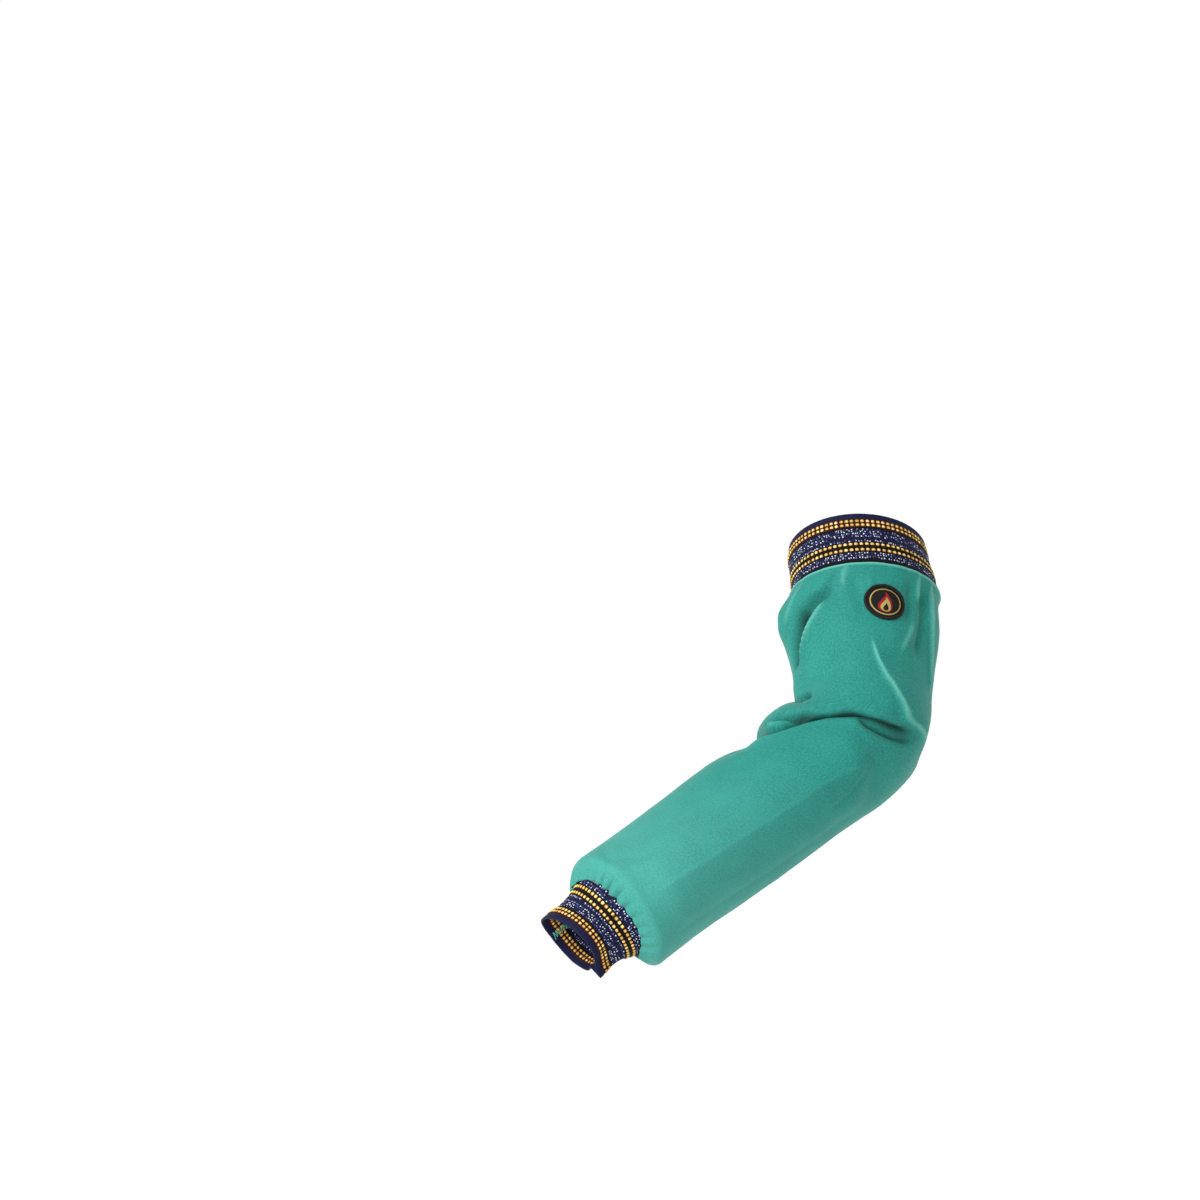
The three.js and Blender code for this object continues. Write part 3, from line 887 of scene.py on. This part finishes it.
def addNode(tree, kind, inputs=None, stops=None, **settings):
    # inputs by name or number: a value, or another node's output to link
    node = tree.nodes.new("ShaderNode" + kind)
    for key, value in settings.items():
        setattr(node, key, value)
    for key, value in (inputs or {}).items():
        if isinstance(value, bpy.types.NodeSocket):
            tree.links.new(value, node.inputs[key])
        else:
            node.inputs[key].default_value = value
    if stops:
        ramp = node.color_ramp
        ramp.elements.remove(ramp.elements[1])
        ramp.elements[0].position, ramp.elements[0].color = stops[0]
        for position, colour in stops[1:]:
            ramp.elements.new(position).color = colour
    return node


def newMaterial(name, shader):
    material = bpy.data.materials.new(name)
    material.use_nodes = True
    tree = material.node_tree
    tree.nodes.clear()
    surface = addNode(tree, "BsdfPrincipled", shader)
    addNode(tree, "OutputMaterial", {"Surface": surface.outputs[0]})
    return material, tree, surface


def finishSurface(tree, surface, colour, height, strength, depth):
    bump = addNode(tree, "Bump", {"Height": height, "Strength": strength, "Distance": depth})
    tree.links.new(bump.outputs[0], surface.inputs["Normal"])
    tree.links.new(colour, surface.inputs["Base Color"])


def cottonSateen():
    # flame-resistant cotton sateen, woven and piece-dyed: a smooth, faintly glossy green with a soft
    # nap that lights up at grazing angles
    material, tree, surface = newMaterial("cotton sateen, woven and dyed", {
        "Roughness": 0.7, "Sheen Weight": 0.22, "Sheen Roughness": 0.35,
        "Sheen Tint": fromHex("#c4efe3"), "Specular IOR Level": 0.2,
    })
    place = addNode(tree, "TexCoord").outputs["UV"]
    # threads stand 0.35 mm apart, drawn 1.1 mm apart so that they show
    yarns = {"Vector": place, "Scale": bandSpacing / 0.0011, "Distortion": 0.6, "Detail": 1,
             "Detail Scale": 1.5}
    warp = addNode(tree, "TexWave", yarns, bands_direction="X").outputs["Fac"]
    weft = addNode(tree, "TexWave", yarns, bands_direction="Y").outputs["Fac"]
    weave = addNode(tree, "Math", {0: warp, 1: weft}, operation="MULTIPLY").outputs[0]
    # 620 tufts of nap and 34 clouds of dye to the metre: 1.6 mm and 29 mm across
    nap, dye = (
        addNode(tree, "TexNoise", {"Vector": place, "Scale": count, "Detail": 3,
                                   "Roughness": rough}).outputs["Fac"]
        for count, rough in [(620, 0.8), (34, 0.6)]
    )
    along = addNode(tree, "SeparateXYZ", {0: place}).outputs[1]
    # painted shade in the folds and painted highlight on their crests, read from the points' tone
    paintedShading = addNode(tree, "Attribute", attribute_name="tone").outputs["Fac"]
    # each colour is laid on those before it, by a share that goes from one value to another while its
    # source does
    layers = [
        (nap, 0.37, 0.63, 0, 1, "#2b9186"),             # fibres that catch the light
        (dye, 0.3, 0.7, 0, 0.35, "#2f978a"),
        (weave, 0, 1, 0.14, 0, "#0d564c"),              # gaps between the threads
        (along, 0.2, 0.38, 0, 0.2, "#6cb8ac"),          # painted light: paler towards the wrist
        (along, 0.0022, 0.0006, 0, 0.5, "#7fd0bd"),     # painted highlight along the turned hem
        (paintedShading, 0, -1, 0, 0.92, "#04352e"),              # painted shade down in the folds
        (paintedShading, 0, 1, 0, 0.7, "#8fdcca"),                # painted highlight on their crests
    ]
    colour = fromHex("#116c61")
    for source, low, high, least, most, layer in layers:
        share = addNode(tree, "MapRange", {"Value": source, "From Min": low, "From Max": high,
                                           "To Min": least, "To Max": most})
        colour = addNode(tree, "Mix", {0: share.outputs[0], 6: colour, 7: fromHex(layer)},
                         data_type="RGBA").outputs[2]
    height = addNode(tree, "Math", {0: weave, 1: nap}, operation="ADD")
    finishSurface(tree, surface, colour, height.outputs[0], strength=0.35, depth=0.0002)
    return material


def wovenElastic():
    # polyester and rubber webbing, woven: bright floats of thick yarn on a dark ribbed ground
    material, tree, surface = newMaterial("elastic webbing, woven polyester", {
        "Roughness": 0.6, "Sheen Weight": 0.01, "Sheen Roughness": 0.4, "Specular IOR Level": 0.12,
    })
    colours = {
        "selvedge": fromHex("#12163a"), "oxblood": fromHex("#350b0c"), "black": fromHex("#060508"),
        "navy": fromHex("#0f1233"),
    }
    on, off = (1, 1, 1, 1), (0, 0, 0, 1)
    place = addNode(tree, "TexCoord").outputs["UV"]
    split = addNode(tree, "SeparateXYZ", {0: place})
    rib, share = split.outputs[0], split.outputs[1]
    ground = addNode(tree, "ValToRGB", {0: share}, stops=[(at, colours[name]) for at, name in groundRows])
    ground.color_ramp.interpolation = "CONSTANT"
    stops = [(0, off)] + [stop for start, end in fleckRows for stop in ((start, on), (end, off))]
    rows = addNode(tree, "ValToRGB", {0: share}, stops=stops)
    rows.color_ramp.interpolation = "CONSTANT"
    # flecks: two to a rib and 2.4 mm apart across the width, with some left out
    cells = addNode(tree, "Mapping", {"Vector": place, "Scale": (2, 21, 1)})
    fleck = addNode(tree, "TexVoronoi", {"Vector": cells.outputs[0], "Scale": 1, "Randomness": 0.7},
                    voronoi_dimensions="2D")
    dot = addNode(tree, "MapRange", {"Value": fleck.outputs["Distance"], "From Min": 0.29,
                                     "From Max": 0.19})
    tint = addNode(tree, "SeparateColor", {0: fleck.outputs["Color"]})
    thin = addNode(tree, "MapRange", {"Value": tint.outputs[1], "From Min": 0.15, "From Max": 0.35})
    shown = addNode(tree, "Math", {0: dot.outputs[0], 1: thin.outputs[0]}, operation="MULTIPLY")
    flecked = addNode(tree, "Math", {0: shown.outputs[0], 1: rows.outputs[0]}, operation="MULTIPLY")
    yarn = addNode(tree, "ValToRGB", {0: tint.outputs[0]}, stops=[
        (0, fromHex("#3a4596")), (0.3, fromHex("#8690cd")), (0.5, fromHex("#cfd5ef")),
        (1, fromHex("#f4f5fc"))])
    gold = addNode(tree, "Attribute", attribute_name="tone")
    bead = addNode(tree, "MapRange", {"Value": gold.outputs["Fac"], "From Min": 0.36, "From Max": 0.54})
    mottle = addNode(tree, "TexNoise", {"Vector": place, "Scale": 1.7, "Detail": 2})
    # each bead is painted dark brown at its edges as painted shade and pale yellow on top as painted
    # highlight, varied at random by the mottle
    paintedShading = addNode(tree, "Math", {0: gold.outputs["Fac"], 1: mottle.outputs["Fac"]}, operation="MULTIPLY")
    amber = addNode(tree, "ValToRGB", {0: paintedShading.outputs[0]}, stops=[
        (0.15, fromHex("#5e3418")), (0.28, fromHex("#b5843c")), (0.4, fromHex("#e2b65c")),
        (0.54, fromHex("#f9e69f"))])
    # painted shade darkens the gaps between ribs
    wave = addNode(tree, "Math", {0: rib, 1: 2 * math.pi}, operation="MULTIPLY")
    gap = addNode(tree, "Math", {0: wave.outputs[0]}, operation="COSINE")
    shade = addNode(tree, "MapRange", {"Value": gap.outputs[0], "From Min": 0.4, "From Max": 1,
                                       "To Min": 0, "To Max": 0.45})
    colour = ground.outputs[0]
    for mask, layer in [(flecked, yarn.outputs[0]), (bead, amber.outputs[0]), (shade, fromHex("#08080f"))]:
        colour = addNode(tree, "Mix", {0: mask.outputs[0], 6: colour, 7: layer}, data_type="RGBA").outputs[2]
    # fine picks across the web, 0.5 mm apart
    picks = addNode(tree, "TexWave", {"Vector": place, "Scale": bandSpacing / (0.0005 / band["width"])},
                    bands_direction="Y")
    height = addNode(tree, "Math", {0: picks.outputs["Fac"], 1: flecked.outputs[0]}, operation="ADD")
    finishSurface(tree, surface, colour, height.outputs[0], strength=0.5, depth=0.0003)
    return material


def embroidery(name, light, dark, pitch=0.0007):
    # rayon thread in satin stitch, drawn coarser than its 0.3 mm: glossy, with a line for each thread
    material, tree, surface = newMaterial(name, {"Roughness": 0.5, "Specular IOR Level": 0.15})
    place = addNode(tree, "TexCoord").outputs["UV"]
    thread = addNode(tree, "TexWave", {"Vector": place, "Scale": bandSpacing / pitch, "Distortion": 0.8},
                     bands_direction="X")
    tone = addNode(tree, "Mix", {0: thread.outputs["Fac"], 6: fromHex(dark), 7: fromHex(light)},
                   data_type="RGBA")
    finishSurface(tree, surface, tone.outputs[2], thread.outputs["Fac"], strength=0.6, depth=0.0003)
    return material


def spunThread():
    # spun polyester sewing thread: matt and slightly hairy, with 1800 lumps to the metre
    material, tree, surface = newMaterial("spun polyester thread", {"Roughness": 0.75, "Sheen Weight": 0.3})
    place = addNode(tree, "TexCoord").outputs["Object"]
    twist = addNode(tree, "TexNoise", {"Vector": place, "Scale": 1800, "Detail": 2})
    tone = addNode(tree, "Mix", {0: twist.outputs["Fac"], 6: fromHex("#2a8a78"), 7: fromHex("#5cc2ac")},
                   data_type="RGBA")
    finishSurface(tree, surface, tone.outputs[2], twist.outputs["Fac"], strength=0.4, depth=0.0002)
    return material


def paintedFloor():
    # matt white paint, rolled on, with marks about 0.3 m apart
    material, tree, surface = newMaterial("matt paint, rolled", {
        "Roughness": 0.9, "Specular IOR Level": 0.1,
    })
    place = addNode(tree, "TexCoord").outputs["Object"]
    roller = addNode(tree, "TexNoise", {"Vector": place, "Scale": 3, "Detail": 2})
    tone = addNode(tree, "Mix", {0: roller.outputs["Fac"], 6: fromHex("#fafaf9"), 7: fromHex("#fcfcfb")},
                   data_type="RGBA")
    tree.links.new(tone.outputs[2], surface.inputs["Base Color"])
    return material


webbing = wovenElastic()
polyester = spunThread()
threads = {
    "black": embroidery("rayon thread, black twill", "#15120f", "#080706"),
    "gold": embroidery("rayon thread, old gold", "#c9b56c", "#8f7c3c"),
    "red": embroidery("rayon thread, red", "#b51c28", "#6e1018"),
    "border": embroidery("rayon thread, merrowed black", "#24201c", "#0b0a09", 0.0012),
}

# What each piece stands for, its slot and its material
pieces = [
    (sleeveCloth, "sleeve_tube", "cloth", cottonSateen()),
    (upperElastic, "upper_band", "elastic", webbing),
    (wristElastic, "wrist_band", "elastic", webbing),
    (patchGround, "round_patch", "patch", threads["black"]),
    (patchBorder, None, "patch", threads["border"]),
    *((motif, None, "patch", threads[thread]) for motif, thread in motifs),
    (overlockThread, None, "elastic", polyester),
    (seamStitches, None, "cloth", polyester),
]
for piece, _, _, material in pieces:
    piece.data.materials.append(material)
print("materials made")


# Floor, lights and world
stage = {
    "floorHeight": -0.9,
    "floorSize": 60,
    "aim": (-0.2, -0.2, -0.28),
    "lowSky": "#ffffff",
    "highSky": "#d2d3d4",
    "whiteTo": 0.1,              # sines of the height above the horizon, where the sky turns grey
    "greyFrom": 0.32,
    "sunFrom": (-0.75, -0.6, 0.85),
    "sunStrength": 1.95,
    "sunAngle": 35,              # degrees, so that shadows are soft
    "lampPlace": (-0.75, -0.85, -0.1),
    "lampSize": 0.5,
    "lampPower": 4,
}


def addLight(name, kind, place, aim, settings):
    data = bpy.data.lights.new(name, kind)
    for key, value in settings.items():
        setattr(data, key, value)
    light = bpy.data.objects.new(name, data)
    light.location = place
    light.rotation_euler = (Vector(place) - Vector(aim)).to_track_quat("Z", "Y").to_euler()
    bpy.context.collection.objects.link(light)


def makeStage():
    bm = bmesh.new()
    bmesh.ops.create_grid(bm, x_segments=4, y_segments=4, size=stage["floorSize"] / 2)
    bmesh.ops.translate(bm, verts=bm.verts, vec=(0, 0, stage["floorHeight"]))
    floor = finishMesh("floor", bm)
    floor.data.materials.append(paintedFloor())
    sun = {"energy": stage["sunStrength"], "angle": math.radians(stage["sunAngle"])}
    addLight("key", "SUN", stage["sunFrom"], (0, 0, 0), sun)
    lamp = {"shape": "DISK", "size": stage["lampSize"], "energy": stage["lampPower"]}
    addLight("lamp", "AREA", stage["lampPlace"], stage["aim"], lamp)
    # the sky is white low down and greyer above
    world = bpy.data.worlds.new("studio")
    world.use_nodes = True
    tree = world.node_tree
    tree.nodes.clear()
    way = addNode(tree, "TexCoord").outputs["Generated"]
    height = addNode(tree, "SeparateXYZ", {0: way})
    sky = addNode(tree, "ValToRGB", {0: height.outputs[2]}, stops=[
        (stage["whiteTo"], fromHex(stage["lowSky"])), (stage["greyFrom"], fromHex(stage["highSky"]))])
    background = addNode(tree, "Background", {0: sky.outputs[0], 1: 1.0})
    addNode(tree, "OutputWorld", {0: background.outputs[0]})
    bpy.context.scene.world = world
    bpy.context.scene.view_settings.view_transform = "Standard"


makeStage()
print("stage made")


# Every piece rides on the part itself
for piece, node, slot, _ in pieces:
    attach(piece, "root")
    if node:
        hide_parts(node)
